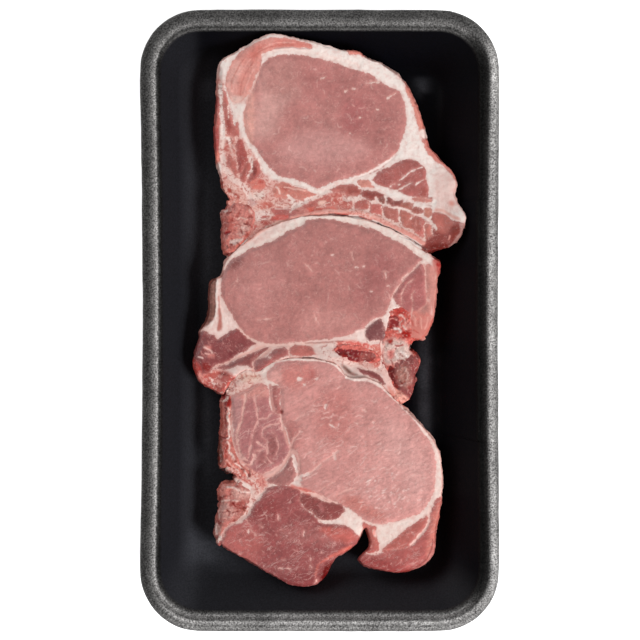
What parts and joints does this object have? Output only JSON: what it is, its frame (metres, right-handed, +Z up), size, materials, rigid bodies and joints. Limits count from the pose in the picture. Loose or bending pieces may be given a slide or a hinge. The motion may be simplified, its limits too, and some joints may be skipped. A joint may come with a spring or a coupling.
{
  "type": "meat tray pack",
  "caption": "Long black foam food tray with a rolled lip and sloping walls, holding raw bone-in pork loin chops laid in an overlapping row.",
  "frame": {"origin": "under the middle of the tray, on the surface that it stands on", "axes": "+Y along the tray towards the chop with the widest fat edge, +X across the tray, +Z up out of the tray's mouth"},
  "size_m": [0.18, 0.3104, 0.028],
  "materials": {
    "foam": "black expanded polystyrene foam with a slight sheen, speckled grey along the lip",
    "pork_far": "raw pork, moist, pale rose muscle with white fat",
    "pork_middle": "raw pork, moist, rose muscle with a thin white fat edge",
    "pork_near": "raw pork, moist, light rose eye muscle beside darker red muscles",
    "cut_bone": "sawn spongy bone with red marrow, moist"
  },
  "bodies": {
    "root": {"tray": "foam", "chop_far": "pork_far", "chop_middle": "pork_middle", "chop_near": "pork_near", "chop_far_backbone": "cut_bone", "chop_middle_backbone": "cut_bone", "chop_middle_rib": "cut_bone", "chop_near_backbone": "cut_bone", "chop_near_chine": "cut_bone"}
  },
  "joints": []
}
